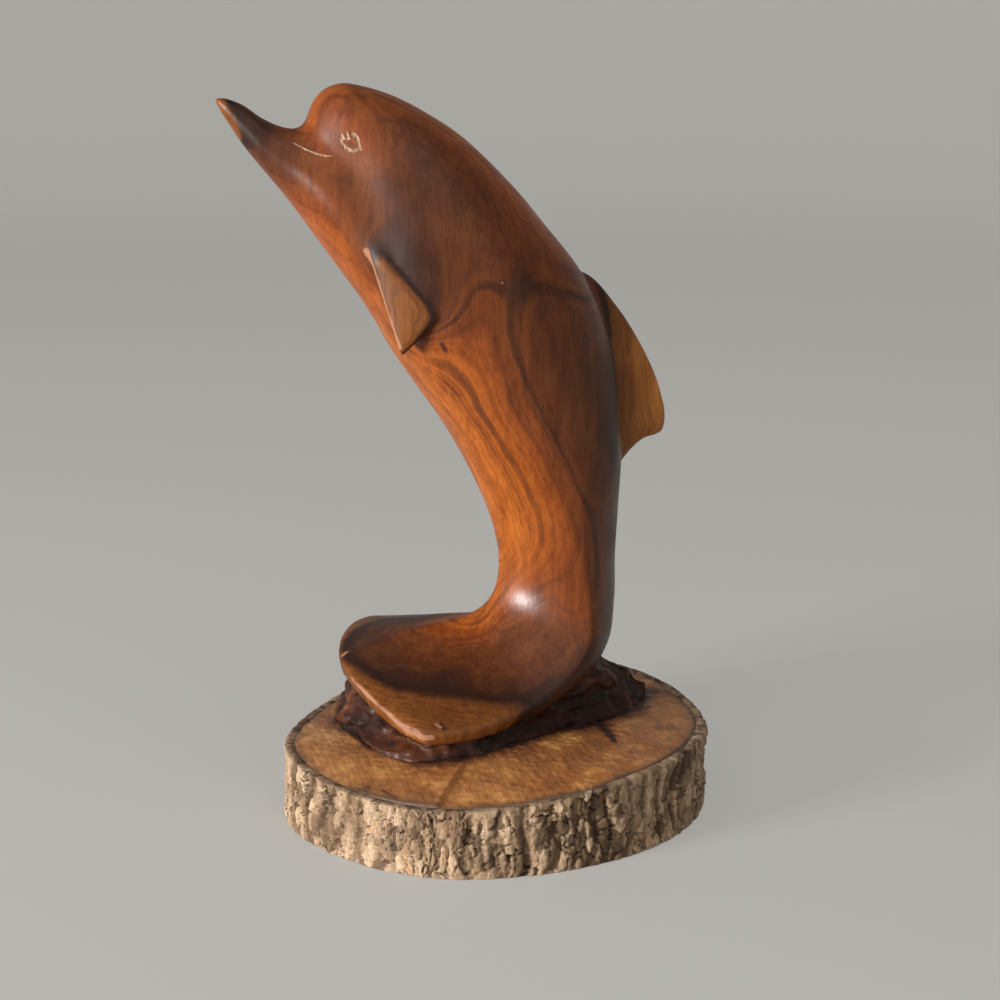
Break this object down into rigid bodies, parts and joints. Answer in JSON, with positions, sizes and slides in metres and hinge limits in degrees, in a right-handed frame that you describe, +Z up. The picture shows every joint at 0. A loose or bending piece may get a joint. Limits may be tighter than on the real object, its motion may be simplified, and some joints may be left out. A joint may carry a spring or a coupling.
{
  "type": "dolphin figurine",
  "caption": "Wood carving of a dolphin standing on its tail above a natural-edge log-slice base with its bark, cut whole from the same log.",
  "frame": {"origin": "middle of the log slice's flat underside", "axes": "+Z up, -X the way the belly and beak face, +X the back, -Y the dolphin's left side; the dolphin's middle plane is at y = +22 mm"},
  "size_m": [0.2109, 0.1799, 0.3175],
  "materials": {
    "carved_wood": "clear satin varnish over two-tone wood, raw bark round the base"
  },
  "bodies": {
    "root": {"dolphin_carving": "carved_wood"}
  },
  "joints": []
}
